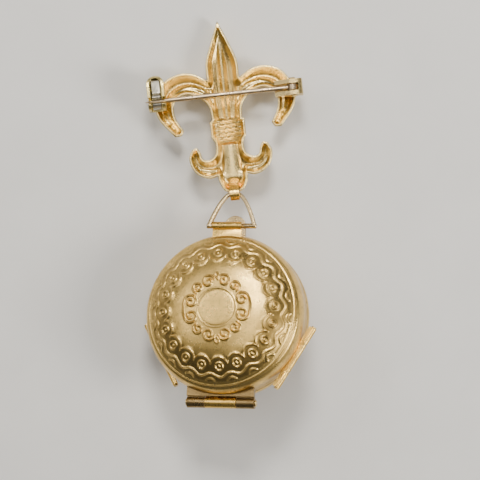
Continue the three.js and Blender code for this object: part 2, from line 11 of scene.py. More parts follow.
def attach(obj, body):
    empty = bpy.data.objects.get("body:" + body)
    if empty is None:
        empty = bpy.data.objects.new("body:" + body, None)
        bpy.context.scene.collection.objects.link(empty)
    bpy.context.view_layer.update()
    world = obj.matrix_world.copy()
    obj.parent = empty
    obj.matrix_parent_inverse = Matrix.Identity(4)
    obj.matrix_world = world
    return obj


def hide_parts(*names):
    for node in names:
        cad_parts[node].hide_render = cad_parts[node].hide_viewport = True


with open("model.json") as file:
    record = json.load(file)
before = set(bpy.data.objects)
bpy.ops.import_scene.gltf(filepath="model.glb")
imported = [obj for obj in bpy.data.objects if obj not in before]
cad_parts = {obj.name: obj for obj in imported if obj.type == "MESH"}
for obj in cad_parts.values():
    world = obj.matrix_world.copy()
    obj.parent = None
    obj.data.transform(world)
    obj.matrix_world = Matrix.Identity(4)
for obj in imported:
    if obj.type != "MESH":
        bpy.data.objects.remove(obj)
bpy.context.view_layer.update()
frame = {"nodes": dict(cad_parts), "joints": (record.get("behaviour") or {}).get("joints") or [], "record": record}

# ---- frames of the pieces, in millimetres ---------------------------------------------------------
MM = 0.001
FULL_TURN = 2 * math.pi
JOINTS = {joint["name"]: joint for joint in frame["joints"]}
BEHAVIOUR = frame["record"]["behaviour"]
BODY_OF = {node: body for body, nodes in BEHAVIOUR["bodies"].items() for node in nodes}


def place(x_axis, y_axis, at, local):
    """A frame with those axes whose point local (mm) lies at a point of the row frame (m)."""
    x = Vector(x_axis).normalized()
    y = Vector(y_axis)
    y = (y - x * y.dot(x)).normalized()
    turn = Matrix((x, y, x.cross(y))).transposed()
    origin = Vector(at) - turn @ (Vector(local) * MM)
    return Matrix.Translation(origin) @ turn.to_4x4() @ Matrix.Scale(MM, 4)


PIN_AT = (9.85, 13.75, 3.9)          # pin joint, in the brooch's frame
TUBE_AT = (0.6, 12.5, 9.9)           # middle of the bail's axis, in the locket's frame
SIDE_TURN = math.radians(120)        # from the bail tube's axis to the left hinge's

BROOCH = place(JOINTS["catch_turn"]["axis"], JOINTS["pin_swing"]["axis"],
               JOINTS["pin_swing"]["pos_m"], PIN_AT)
tube_axis = Vector(JOINTS["locket_swing"]["axis"])
side_axis = Vector(JOINTS["left_hinge_swing"]["axis"])
LOCKET = place(tube_axis, side_axis - tube_axis * math.cos(SIDE_TURN),
               JOINTS["locket_swing"]["pos_m"], TUBE_AT)
tube_point = Vector(JOINTS["locket_swing"]["pos_m"])
BAIL = place(tube_axis, Vector(JOINTS["bail_swing"]["pos_m"]) - tube_point, tube_point, (0, 0, 0))

# ---- shader helpers -------------------------------------------------------------------------------
MIX_FACTOR, MIX_A, MIX_B = 0, 6, 7   # inputs of a colour mix
MIX_COLOR = 2                        # and its output


def shader(name):
    mat = bpy.data.materials.new(name)
    mat.use_nodes = True
    tree = mat.node_tree
    return mat, tree, tree.nodes["Principled BSDF"]


def feed(tree, socket, value):
    """Link an output to the socket, or set the socket to a constant."""
    if isinstance(value, bpy.types.NodeSocket):
        tree.links.new(value, socket)
    else:
        socket.default_value = value


def node(tree, kind, inputs=None, **props):
    made = tree.nodes.new(kind)
    for key, value in props.items():
        setattr(made, key, value)
    for key, value in (inputs or {}).items():
        feed(tree, made.inputs[key], value)
    return made


def noise(tree, scale, detail=4, rough=0.55):
    where = node(tree, "ShaderNodeTexCoord").outputs["Object"]
    return node(tree, "ShaderNodeTexNoise",
                {"Vector": where, "Scale": scale, "Detail": detail, "Roughness": rough}).outputs["Fac"]


def combine(tree, operation, a, b):
    return node(tree, "ShaderNodeMath", {0: a, 1: b}, operation=operation).outputs[0]


def ramp(tree, fac, stops):
    """Colour that runs between two stops, each a place and a colour."""
    made = node(tree, "ShaderNodeValToRGB", {"Fac": fac})
    for mark, (at, color) in zip(made.color_ramp.elements, stops):
        mark.position = at
        mark.color = (*color, 1)
    return made.outputs["Color"]


def mix(tree, fac, a, b):
    made = node(tree, "ShaderNodeMix", data_type="RGBA")
    feed(tree, made.inputs[MIX_FACTOR], fac)
    for key, color in ((MIX_A, a), (MIX_B, b)):
        feed(tree, made.inputs[key], (*color, 1) if isinstance(color, tuple) else color)
    return made.outputs[MIX_COLOR]


def grey(value):
    return (value, value, value)


def mask(tree, fac, edges):
    """Black below the first value and white above the second."""
    return ramp(tree, fac, [(edges[0], grey(0)), (edges[1], grey(1))])


def rough_up(tree, bsdf, height, strength, depth):
    bump = node(tree, "ShaderNodeBump", {"Height": height, "Strength": strength, "Distance": depth})
    tree.links.new(bump.outputs[0], bsdf.inputs["Normal"])


# ---- materials ------------------------------------------------------------------------------------
PATCH = 420              # per metre: tarnish patches of about 2 mm
SPECK = 2600             # specks and dents of about 0.4 mm
GRAIN = 9000             # polishing grain
CARD_CLOUD = 160         # toning of the card, in clouds of about 6 mm
PATCH_EDGES = (0.38, 0.68)
SPECK_EDGES = (0.54, 0.70)
HOLLOW_EDGES = (0.12, 0.75)
SPECK_SHADE = 0.45       # a speck's colour, as a share of the tarnish's
GLOSS_TOP = 1.6          # patches and grain together, where the plate is roughest
DENT_STRENGTH = 0.4
DENT_DEPTH = 0.00005


def plated(name, light, dark, rough, tarnish, hollow=None, pits=0.3):
    """Worn gold plate: tarnish in patches, specks, fine grain and, where a mesh says so, a hollow colour: painted
    shade in creases and grooves, patina on ornament ground.
    """
    mat, tree, bsdf = shader(name)
    patches = mask(tree, noise(tree, PATCH, detail=5, rough=0.6), PATCH_EDGES)
    color = mix(tree, combine(tree, "MULTIPLY", patches, tarnish), light, dark)
    specks = mask(tree, noise(tree, SPECK, detail=3, rough=0.7), SPECK_EDGES)
    speck_color = tuple(SPECK_SHADE * channel for channel in dark)
    color = mix(tree, combine(tree, "MULTIPLY", specks, pits), color, speck_color)
    # Hollow colour by the mesh's hollow attribute: painted shade in the brooch's creases and the covers' grooves,
    # patina on the covers' ornament ground.
    if hollow:
        depth = node(tree, "ShaderNodeAttribute", attribute_name="hollow").outputs["Fac"]
        color = mix(tree, mask(tree, depth, HOLLOW_EDGES), color, hollow)
    tree.links.new(color, bsdf.inputs["Base Color"])
    fine = noise(tree, GRAIN, detail=2, rough=0.5)
    gloss = node(tree, "ShaderNodeMapRange", {
        "Value": combine(tree, "ADD", patches, fine),
        "From Max": GLOSS_TOP, "To Min": rough[0], "To Max": rough[1]})
    tree.links.new(gloss.outputs[0], bsdf.inputs["Roughness"])
    dents = combine(tree, "ADD", noise(tree, SPECK, rough=0.65), fine)
    rough_up(tree, bsdf, dents, DENT_STRENGTH, DENT_DEPTH)
    bsdf.inputs["Metallic"].default_value = 1
    return mat


# Its hollow colour is painted shade in the grooves and patina on the ornament's ground.
COVER_GOLD = plated("aged_and_groove_shaded_cover_gold", light=(0.88, 0.60, 0.19), dark=(0.48, 0.31, 0.09),
                    rough=(0.22, 0.38), tarnish=0.62, hollow=(0.14, 0.085, 0.025), pits=0.55)
WALL_GOLD = plated("aged_wall_gold", light=(0.78, 0.53, 0.18), dark=(0.42, 0.27, 0.08),
                   rough=(0.24, 0.40), tarnish=0.6)
# Painted shade: a dark brown gold for the bottom hinge's cover knuckles, which lie in shade under the case's brow.
SHADED_HINGE_GOLD = plated("painted_shade_hinge_gold", light=(0.38, 0.26, 0.11), dark=(0.17, 0.11, 0.045),
                     rough=(0.22, 0.38), tarnish=0.6)
WARM_GOLD = plated("warm_gold", light=(0.94, 0.62, 0.17), dark=(0.68, 0.41, 0.09),
                   rough=(0.2, 0.34), tarnish=0.55)
PALE_GOLD = plated("pale_gold", light=(0.86, 0.66, 0.30), dark=(0.60, 0.41, 0.15),
                   rough=(0.2, 0.34), tarnish=0.5)
# Its hollow colour is painted shade: warm and deeper in the creases under the rim.
FLEUR_GOLD = plated("stamped_gold", light=(0.92, 0.72, 0.32), dark=(0.82, 0.60, 0.22),
                    rough=(0.20, 0.34), tarnish=0.5, hollow=(0.76, 0.51, 0.16))
CATCH_GOLD = plated("catch_gold", light=(0.78, 0.64, 0.27), dark=(0.50, 0.39, 0.14),
                    rough=(0.22, 0.36), tarnish=0.5)
BAIL_GOLD = plated("bail_gold", light=(0.58, 0.44, 0.24), dark=(0.34, 0.25, 0.13),
                   rough=(0.22, 0.38), tarnish=0.55)
PIN_WIRE = plated("pin_wire", light=(0.66, 0.52, 0.35), dark=(0.44, 0.33, 0.20),
                  rough=(0.22, 0.34), tarnish=0.5)
GREY_METAL = plated("grey_rotor", light=(0.62, 0.60, 0.52), dark=(0.40, 0.37, 0.30),
                    rough=(0.24, 0.38), tarnish=0.5)


def card():
    """Toned photographic card: warm grey clouds with a fine paper grain."""
    mat, tree, bsdf = shader("toned_card")
    clouds = noise(tree, CARD_CLOUD, detail=3, rough=0.5)
    tone = ramp(tree, clouds, [(0.3, (0.42, 0.34, 0.25)), (0.7, (0.72, 0.64, 0.52))])
    tree.links.new(tone, bsdf.inputs["Base Color"])
    bsdf.inputs["Roughness"].default_value = 0.75
    rough_up(tree, bsdf, noise(tree, GRAIN), strength=0.15, depth=0.00002)
    return mat


def clear_sheet():
    """Thin clear acetate, lightly scuffed and a little yellowed."""
    mat, tree, bsdf = shader("clear_acetate")
    scuffs = ramp(tree, noise(tree, SPECK, detail=5, rough=0.7), [(0.45, grey(0.05)), (0.8, grey(0.3))])
    tree.links.new(scuffs, bsdf.inputs["Roughness"])
    tint = ramp(tree, noise(tree, PATCH), [(0.3, (0.95, 0.93, 0.86)), (0.7, (0.98, 0.97, 0.93))])
    tree.links.new(tint, bsdf.inputs["Base Color"])
    bsdf.inputs["Transmission Weight"].default_value = 0.9
    bsdf.inputs["IOR"].default_value = 1.46
    return mat


CARD = card()
CLEAR = clear_sheet()

# ---- mesh helpers ---------------------------------------------------------------------------------
WELD = 2e-7                          # metres: points this close are one
FLAT_ANGLE = math.radians(1.5)       # facets this near to one plane are one face
EDGE_ANGLE = math.radians(38)        # edges sharper than this are eased


def finish_piece(name, mesh, material, nodes, sharp=32):
    """An object that moves with its nodes' body and stands for those nodes."""
    obj = bpy.data.objects.new(name, mesh)
    bpy.context.scene.collection.objects.link(obj)
    mesh.materials.clear()
    mesh.materials.append(material)
    for poly in mesh.polygons:
        poly.use_smooth = True
    mesh.set_sharp_from_angle(angle=math.radians(sharp))
    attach(obj, BODY_OF[nodes[0]])
    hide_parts(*nodes)
    return obj


def mesh_of(name, points, faces, where, hollow=None):
    """A mesh of points given in the frame where, with how deep in a hollow each point is, 0 to 1."""
    mesh = bpy.data.meshes.new(name)
    turn = np.array(where)
    world = np.asarray(points) @ turn[:3, :3].T + turn[:3, 3]
    mesh.from_pydata(world.tolist(), [], faces)
    if hollow is not None:
        depth = mesh.attributes.new("hollow", "FLOAT", "POINT")
        depth.data.foreach_set("value", np.asarray(hollow, np.float32))
    mesh.update()
    return mesh


def rows_to_faces(rows, columns):
    """Quads between neighbouring rows of points, each row a loop."""
    faces = []
    for i in range(rows - 1):
        for j in range(columns):
            k = (j + 1) % columns
            faces.append((i * columns + j, i * columns + k, (i + 1) * columns + k, (i + 1) * columns + j))
    return faces


def first_row(columns):
    return tuple(range(columns))


def last_row(rows, columns):
    return tuple(range((rows - 1) * columns, rows * columns))


def joined(parts):
    points, faces = [], []
    for part_points, part_faces in parts:
        start = sum(len(p) for p in points)
        points.append(np.asarray(part_points, float))
        faces += [tuple(start + i for i in face) for face in part_faces]
    return np.concatenate(points), faces


def swept(rows, columns):
    """A solid through rows of points, with closed ends."""
    faces = rows_to_faces(len(rows), columns)
    faces.append(tuple(reversed(first_row(columns))))
    faces.append(last_row(len(rows), columns))
    return np.concatenate(rows), faces


def rod(radii, stations, y, z, sides=28):
    """A turned rod along X through (y, z)."""
    turn = np.linspace(0, FULL_TURN, sides, endpoint=False)
    rows = [np.stack([np.full(sides, x), y + r * np.cos(turn), z + r * np.sin(turn)], 1)
            for r, x in zip(radii, stations)]
    return swept(rows, sides)


def spline(points, steps):
    """Smooth curve through the points."""
    pts = np.array(points, float)
    padded = np.vstack([2 * pts[0] - pts[1], pts, 2 * pts[-1] - pts[-2]])
    out = []
    for i in range(len(pts) - 1):
        a, b, c, d = padded[i:i + 4]
        for t in np.linspace(0, 1, steps, endpoint=False):
            out.append(0.5 * (2 * b + (c - a) * t + (2 * a - 5 * b + 4 * c - d) * t ** 2
                              + (3 * b - a - 3 * c + d) * t ** 3))
    out.append(pts[-1])
    return np.array(out)


def distance(points, path):
    """Distance from each point to a polyline."""
    best = np.full(len(points), np.inf)
    for a, b in zip(path[:-1], path[1:]):
        run = b - a
        t = np.clip(((points - a) @ run) / (run @ run), 0, 1)
        gap = points - a - t[:, None] * run
        best = np.minimum(best, (gap ** 2).sum(1))
    return np.sqrt(best)


def inside(points, loop):
    """Whether each point lies inside a closed outline."""
    hit = np.zeros(len(points), bool)
    for a, b in zip(loop, np.roll(loop, -1, 0)):
        if a[1] == b[1]:
            continue
        crosses = (a[1] > points[:, 1]) != (b[1] > points[:, 1])
        x = a[0] + (points[:, 1] - a[1]) * (b[0] - a[0]) / (b[1] - a[1])
        hit ^= crosses & (points[:, 0] < x)
    return hit


def unit(rows):
    return rows / np.linalg.norm(rows, axis=1)[:, None]


def ridge(gap, width):
    return np.exp(-(gap / width) ** 2)


def smooth_step(x, low, high):
    t = np.clip((x - low) / (high - low), 0, 1)
    return t * t * (3 - 2 * t)


def plateau(x, rise, fall):
    """One between two slopes, each given by its ends, and nothing outside them."""
    return smooth_step(x, *rise) * (1 - smooth_step(x, *fall))


def softened(node_name, material, edge=0.05, segments=2):
    """A CAD piece with its edges eased and its curved faces shaded smooth."""
    bm = bmesh.new()
    bm.from_mesh(frame["nodes"][node_name].data)
    bmesh.ops.remove_doubles(bm, verts=bm.verts, dist=WELD)
    bmesh.ops.dissolve_limit(bm, angle_limit=FLAT_ANGLE, verts=bm.verts, edges=bm.edges)
    mesh = bpy.data.meshes.new(node_name + "_eased")
    bm.to_mesh(mesh)
    bm.free()
    obj = finish_piece(node_name + "_look", mesh, material, [node_name])
    bevel = obj.modifiers.new("edges", "BEVEL")
    bevel.width = edge * MM
    bevel.segments = segments
    bevel.limit_method = "ANGLE"
    bevel.angle_limit = EDGE_ANGLE
    bevel.harden_normals = True


# ---- brooch: the stamped shell --------------------------------------------------------------------
SHELL_H = 2.2                        # the rim's height over the front
RIM_W = 0.26                         # flat top of the shell's edge
RIM_EASE, RIM_EASE_W = 0.07, 0.09    # fall and width of the rim's rounded corner
FLOOR_H = 0.62                       # the pressed ground between the lines
STAMP = 0.85                         # share of a line's height that stands on the back
WALL_W, WALL_POWER = 0.42, 1.25      # how the wall falls from the rim to the ground
SHEET_MIN = 0.22                     # thinnest metal
BOW_W, BOW_H = 0.95, 1.15            # rounding of the front towards its edge
FRONT_H = 0.24                       # middle of the front
FRONT_STAMP, FRONT_TOP = 0.5, 0.5    # share and limit of a line's height that shows in front
NOTCH_HALF, NOTCH_TOP, NOTCH_H = 0.76, 0.6, 1.3      # low place in the foot, under the strap
CREASE_SHADE_TOP, CREASE_SHADE_DEEP = 0.25, 1.3    # under the rim: where the painted crease shade starts, and how far to its most
CREASE_SHADE_MOST, CREASE_SHADE_ON_LINES, CREASE_SHADE_LINE_TOP = 0.75, 0.5, 0.6    # its most, and how much less of it lies on the raised lines, up to this line height
FRONT_GAIN, FRONT_FROM, FRONT_MOST = 0.5, 0.2, 0.4           # the same painted shade on the front, towards its edge

FLEUR_RUNS = [
    [[0, 24.6], [1.35, 21.3], [2.25, 18.7], [2.3, 16.2]],
    [[2.3, 16.2], [4.3, 17.35], [6.5, 17.5], [8.6, 16.5], [10.0, 14.0], [9.8, 11.4], [7.7, 8.6]],
    [[7.7, 8.6], [6.8, 8.65], [6.35, 9.3]],
    [[6.35, 9.3], [7.4, 11.4], [7.3, 13.5], [5.6, 14.5], [3.5, 13.7], [2.4, 12.3], [2.15, 10.4]],
    [[2.15, 10.4], [2.5, 10.2]],
    [[2.5, 10.2], [2.5, 7.9]],
    [[2.5, 7.9], [2.0, 6.9], [2.15, 5.5], [3.1, 4.75], [4.0, 4.95], [4.3, 5.9]],
    [[4.3, 5.9], [4.75, 6.6], [5.45, 6.45]],
    [[5.45, 6.45], [6.0, 5.2], [5.6, 3.6], [4.5, 2.5], [3.2, 2.1], [2.15, 2.35]],
    [[2.15, 2.35], [2.0, 1.4], [1.5, 0.3], [0.8, -0.15]],
]
FLEUR_FOOT = [0.0, -0.28]
RUN_STEPS = 8

PETAL = [[2.4, 14.3], [3.6, 15.1], [5.2, 15.5], [6.9, 15.0], [8.2, 13.6], [8.4, 11.8], [7.5, 10.0]]
PETAL_VEIN = [[3.3, 14.25], [4.6, 14.75], [5.9, 14.75], [7.1, 14.0], [7.6, 12.8]]
CURL = [[2.3, 3.3], [3.3, 3.3], [4.4, 3.7], [5.1, 4.7], [5.2, 5.7]]
MIDRIB = [[0, 10.4], [0, 16.0], [0, 22.8]]
BLADE_VEIN = [[0.75, 10.4], [0.95, 13.0], [1.15, 16.0], [1.0, 19.0], [0.4, 22.0]]
BLADE_EDGE = [[1.45, 10.4], [1.65, 12.6], [1.9, 14.8]]
PETAL_ROOT = [[2.2, 15.6], [2.7, 14.9], [3.2, 14.9]]
# Lines of the relief on one side, as path, height and width; the other side mirrors them.
FLEUR_LINES = [
    (PETAL, 0.80, 0.52),
    (PETAL_VEIN, 0.22, 0.20),
    (CURL, 0.56, 0.34),
    (MIDRIB, 0.66, 0.46),
    (BLADE_VEIN, 0.15, 0.20),
    (BLADE_EDGE, 0.32, 0.18),
    (PETAL_ROOT, 0.28, 0.55),
]
LINE_STEPS = 6

BAND_RISE, BAND_FALL = (6.85, 7.1), (10.5, 10.75)    # ends of the bound band
CORD_PITCH, CORD_START, CORD_SLANT = 0.62, 7.2, 0.06
CORD_LOW, CORD_H = 0.42, 0.40
CORD_ENDS = (1.55, 1.9)              # where the cords fade at the band's sides
STEM_RISE, STEM_FALL = (0.9, 2.2), (6.7, 6.95)       # ends of the crowned stem under the band
STEM_TOP, STEM_HALF, STEM_FLARE = 6.9, 1.05, 0.10
STEM_SIDES = (0.78, 1.12)            # where the stem's sides fall, as a share of its half width
STEM_H, STEM_CROWN = 0.68, 0.42


def fleur_outline():
    half = []
    for run in FLEUR_RUNS:
        points = spline(run, RUN_STEPS) if len(run) > 2 else np.linspace(*run, RUN_STEPS)
        half += points[:-1].tolist()
    half.append(FLEUR_RUNS[-1][-1])
    half.append(FLEUR_FOOT)
    left = [[-x, y] for x, y in half[1:-1]][::-1]
    return np.array(half + left)


def fleur_relief(p):
    """Height of the sheet above its ground, from the stamped lines."""
    x, y = np.abs(p[:, 0]), p[:, 1]
    side = np.stack([x, y], 1)
    height = np.zeros(len(p))
    for path, rise, width in FLEUR_LINES:
        height += rise * ridge(distance(side, spline(path, LINE_STEPS)), width)
    band = plateau(y, BAND_RISE, BAND_FALL)
    cords = 0.5 + 0.5 * np.cos(FULL_TURN * (y - CORD_SLANT * p[:, 0] - CORD_START) / CORD_PITCH)
    height = height * (1 - band) + band * (CORD_LOW + CORD_H * cords * (1 - smooth_step(x, *CORD_ENDS)))
    share = x / (STEM_HALF + STEM_FLARE * (STEM_TOP - y))
    stem = plateau(y, STEM_RISE, STEM_FALL) * (1 - smooth_step(share, *STEM_SIDES))
    return height + stem * (STEM_H - STEM_CROWN * share ** 2)


EDGE_RINGS = (0.05, 0.13, 0.20, RIM_W, 0.32, 0.40, 0.50, 0.62)       # rows of points inside the outline
RING_SPACING = 0.93                  # a ring's point is dropped when nearer to the edge than this share
GRID_PITCH, GRID_ROW = 0.115, 0.87   # spacing of the points, and of their rows as a share of it
GRID_X, GRID_Y = (-10.5, 10.5), (-0.5, 25)
GRID_GAP = 0.05                      # from the last ring to the grid
FINE_HALF, FINE_LOW, FINE_HIGH = 2.3, 6.7, 10.9      # finer grid over the cords
FINE_X = (-2.28, 2.29, 0.12)         # its start, end and step
FINE_Y = (6.72, 10.89, 0.055)
CDT_INSIDE = 1                       # triangles inside the outline only
CDT_WELD = 1e-5


def fleur_points(loop, closed_loop):
    """Points of the shell's plan: its outline, rows that follow the edge, and a staggered grid."""
    edge = np.roll(loop, -1, 0) - loop
    inward = unit(np.stack([edge[:, 1], -edge[:, 0]], 1))
    corner = unit(inward + np.roll(inward, 1, 0))
    points = [loop]
    for step in EDGE_RINGS:
        moved = loop + corner * step
        keep = inside(moved, loop) & (distance(moved, closed_loop) > RING_SPACING * step)
        points.append(moved[keep])
    xs, ys = np.meshgrid(np.arange(*GRID_X, GRID_PITCH), np.arange(*GRID_Y, GRID_PITCH * GRID_ROW))
    xs[1::2] += GRID_PITCH / 2
    grid = np.stack([xs.ravel(), ys.ravel()], 1)
    cords = (np.abs(grid[:, 0]) < FINE_HALF) & (grid[:, 1] > FINE_LOW) & (grid[:, 1] < FINE_HIGH)
    fine = np.stack(np.meshgrid(np.arange(*FINE_X), np.arange(*FINE_Y)), -1).reshape(-1, 2)
    grid = np.concatenate([grid[~cords], fine])
    grid = grid[inside(grid, loop)]
    points.append(grid[distance(grid, closed_loop) > EDGE_RINGS[-1] + GRID_GAP])
    return np.concatenate(points)


def sheet_heights(flat, gap, relief):
    """Heights of the shell's back and front at points that lie gap inside its outline."""
    ground = FLOOR_H + STAMP * relief
    wall = np.exp(-(np.clip(gap - RIM_W, 0, None) / WALL_W) ** WALL_POWER)
    top = SHELL_H - RIM_EASE * np.clip(1 - gap / RIM_EASE_W, 0, 1) ** 2
    back = np.where(gap <= RIM_W, top, ground + (SHELL_H - ground) * wall)
    notch = (np.abs(flat[:, 0]) < NOTCH_HALF) & (flat[:, 1] < NOTCH_TOP)
    back = np.where(notch, np.minimum(back, NOTCH_H), back)
    bow = 1 - np.clip(1 - gap / BOW_W, 0, 1) ** 2
    front = BOW_H * (1 - np.sqrt(bow)) + FRONT_H + FRONT_STAMP * np.minimum(relief, FRONT_TOP)
    return back, np.minimum(front, back - SHEET_MIN)


def sheet_shade(back, front, relief):
    """How much painted shade each point of the back and of the front gets: on the back more the deeper it lies
    under the rim, on the front more towards its edge.
    """
    depth = np.clip((SHELL_H - CREASE_SHADE_TOP - back) / CREASE_SHADE_DEEP, 0, 1)
    depth *= CREASE_SHADE_MOST - CREASE_SHADE_ON_LINES * np.clip(relief, 0, CREASE_SHADE_LINE_TOP)
    return np.concatenate([depth, np.clip(FRONT_GAIN * (front - FRONT_FROM), 0, FRONT_MOST)])


def closed_sheet(flat, faces, back, front):
    """The solid between two heights over a plan of triangles."""
    count = len(flat)
    points = np.concatenate([np.column_stack([flat, back]), np.column_stack([flat, front])])
    up, rims = [], {}
    for face in faces:
        a, b, c = (flat[i] for i in face[:3])
        turn = (b[0] - a[0]) * (c[1] - a[1]) - (b[1] - a[1]) * (c[0] - a[0])
        face = list(face) if turn > 0 else list(face)[::-1]
        up.append(tuple(face))
        for i, j in zip(face, face[1:] + face[:1]):
            if rims.pop((j, i), None) is None:
                rims[(i, j)] = True
    down = [tuple(i + count for i in reversed(face)) for face in up]
    sides = [(i, i + count, j + count, j) for i, j in rims]
    return points, up + down + sides


def fleur():
    loop = fleur_outline()
    closed_loop = np.vstack([loop, loop[:1]])
    plan = [Vector(point) for point in fleur_points(loop, closed_loop).tolist()]
    count = len(loop)
    border = [(i, (i + 1) % count) for i in range(count)]
    verts, _, faces, *_ = delaunay_2d_cdt(plan, border, [list(range(count))], CDT_INSIDE, CDT_WELD)
    flat = np.array([list(vert) for vert in verts])
    relief = fleur_relief(flat)
    back, front = sheet_heights(flat, distance(flat, closed_loop), relief)
    points, faces = closed_sheet(flat, faces, back, front)
    mesh = mesh_of("fleur", points, faces, BROOCH, sheet_shade(back, front, relief))
    finish_piece("fleur_relief", mesh, FLEUR_GOLD, ["fleur_shell"], sharp=50)


fleur()

# ---- brooch: strap, catch and pin -----------------------------------------------------------------
softened("hanger_strap", WARM_GOLD, 0.06)
softened("catch_housing", CATCH_GOLD, 0.13, 3)
softened("catch_rotor", GREY_METAL, 0.22, 4)
softened("pin_joint_bracket", PALE_GOLD, 0.11, 3)
softened("pin_rivet", PALE_GOLD, 0.05)

PIN_R = 0.35
PIN_TIP = -11.4
# Rings along the plain wire, from the rivet.
PIN_STATIONS = (PIN_AT[0] - 0.35, PIN_AT[0] - 1.2, PIN_AT[0] - 3, 0)
# The taper, as distance from the tip and radius.
PIN_TAPER = ((5, PIN_R), (3, 0.31), (1.5, 0.25), (0.7, 0.17), (0.25, 0.09), (0, 0.012))
PIN_SIDES = 24
# Section of the eye round the rivet, as radius and place along the rivet's axis.
LOOP_SECTION = ((0.35, -0.40), (0.72, -0.45), (0.80, -0.37), (0.80, 0.37), (0.72, 0.45), (0.35, 0.40),
                (0.35, -0.40))
LOOP_SIDES = 40


def pin():
    """Wire with a flattened eye at the rivet, tapering to a point."""
    x, y, z = PIN_AT
    stations = list(PIN_STATIONS) + [PIN_TIP + along for along, _ in PIN_TAPER]
    radii = [PIN_R] * len(PIN_STATIONS) + [radius for _, radius in PIN_TAPER]
    wire = rod(radii[::-1], stations[::-1], y, z, PIN_SIDES)
    turn = np.linspace(0, FULL_TURN, LOOP_SIDES, endpoint=False)
    rows = [np.stack([x + r * np.cos(turn), np.full(LOOP_SIDES, y + along), z - r * np.sin(turn)], 1)
            for r, along in LOOP_SECTION]
    eye = np.concatenate(rows), rows_to_faces(len(rows), LOOP_SIDES)
    points, faces = joined([wire, eye])
    mesh = mesh_of("pin", points, faces, BROOCH)
    finish_piece("pin_wire", mesh, PIN_WIRE, ["pin_stem"], sharp=40)


pin()

# ---- bail -----------------------------------------------------------------------------------------
BAIL_HALF = 3.33
BAIL_THICK = 0.6
BAIL_WIDE = 0.74
BAIL_ARCH = [[-3.0, 1.0], [-2.45, 2.35], [-1.85, 3.5], [-1.2, 4.4], [-0.6, 4.87], [0, 4.95]]
BAIL_STEPS = 10
BAIL_SIDES = 20
BAIL_SQUARE = 0.45                   # power that squares the strip's section; 1 would be an oval
CROWN_NARROW, CROWN_REACH = 0.22, 1.6    # the strip narrows where it passes the strap
TUBE_END = 2.22                      # half the tube on the case
FOOT_IN = 0.95                       # inner end of each foot, inside the tube
FOOT_EASE = 0.07
FOOT_RADII = (0.31, 0.37, 0.37, 0.32, 0.28, 0.28)    # from the outer end inwards, as the stations run


def bail_strip():
    left = [[-BAIL_HALF, 0.0]] + BAIL_ARCH
    right = [[-x, y] for x, y in left[:-1]][::-1]
    line = spline(left + right, BAIL_STEPS)
    run = unit(np.gradient(line, axis=0))
    across = np.stack([-run[:, 1], run[:, 0]], 1)
    turn = np.linspace(0, FULL_TURN, BAIL_SIDES, endpoint=False)
    u = np.sign(np.cos(turn)) * np.abs(np.cos(turn)) ** BAIL_SQUARE * BAIL_THICK / 2
    w = np.sign(np.sin(turn)) * np.abs(np.sin(turn)) ** BAIL_SQUARE * BAIL_WIDE / 2
    rows = []
    for point, normal in zip(line, across):
        narrow = 1 - CROWN_NARROW * math.exp(-(point[0] / CROWN_REACH) ** 2)
        rows.append(np.column_stack([point + np.outer(narrow * u, normal), narrow * w]))
    return swept(rows, BAIL_SIDES)


def bail_foot(side):
    """The turned foot that runs from the strip into the tube."""
    outer = side * (BAIL_HALF + BAIL_THICK / 2)
    shoulder = side * TUBE_END - TUBE_AT[0]
    ease = side * FOOT_EASE
    stations = [outer, outer - ease, shoulder + ease, shoulder, shoulder, side * FOOT_IN - TUBE_AT[0]]
    order = -1 if side > 0 else 1
    return rod(FOOT_RADII[::order], stations[::order], 0, 0)


def bail():
    points, faces = joined([bail_strip(), bail_foot(-1), bail_foot(1)])
    mesh = mesh_of("bail", points, faces, BAIL)
    finish_piece("bail_strip", mesh, BAIL_GOLD, ["bail_stirrup"], sharp=40)


bail()

# ---- the covers' ornament -------------------------------------------------------------------------
RIM_R = 10.66            # raised line where the dome meets the shoulder
EYES = 20                # motifs round the border
EYE_PITCH = FULL_TURN / EYES
EYE_R = 8.25             # the eyes' circle
EYE_RING = 0.53
EYE_DOT = (0.08, 0.24)   # where the dot in an eye starts to fall and ends
DOT_H = 0.14
SCALLOP_DEEP, SCALLOP_SPAN = 1.3, 0.97
WAVE_R, WAVE_SWING = 9.38, 0.25
ARC_R, ARC_RISE, ARC_HALF = 9.78, 0.34, 0.42
SCROLL_TURNS, SCROLL_CLOSE = 1.3, 0.80
# Scrolls, as the radius of their circle, the angle from the nearest axis and the size.
SIDE_SCROLLS = (3.88, math.radians(16), 0.94)
NEAR_SCROLLS = (3.95, math.radians(16.5), 0.90)
FAR_SCROLLS = (3.95, math.radians(42.5), 0.76)
NEAR_START, FAR_START = 1.6, 2.0     # radians from the outward direction to where each scroll starts
BRACKET_R, BRACKET_HALF, BRACKET_BOW = 4.82, 0.28, 0.04
LEAF_R, LEAF_LONG, LEAF_BOW = 4.2, 0.9, 0.07
# The ornament's lines, as height and width.
SCROLL_LINE = (0.20, 0.11)
LEAF_LINE = (0.16, 0.09)
RING_LINE = (0.15, 0.10)
SCALLOP_LINE = (0.16, 0.11)
WAVE_LINE = (0.17, 0.11)
ARC_LINE = (0.13, 0.10)
GROUND = 0.15            # how far the ornament's ground lies under the plain dome
BORDER_SUNK = 0.07       # how much deeper the border's ground is
BORDER_SLOPES = (7.0, 7.6), (10.1, 10.4)
WREATH_ZONE = (2.75, 5.2)
BORDER_ZONE = (6.6, 10.5)
# Plain turned lines, as radius, height and width.
TURNED_LINES = ((2.62, -0.06, 0.10), (2.80, 0.06, 0.09), (RIM_R, 0.13, 0.09), (10.90, -0.07, 0.10))

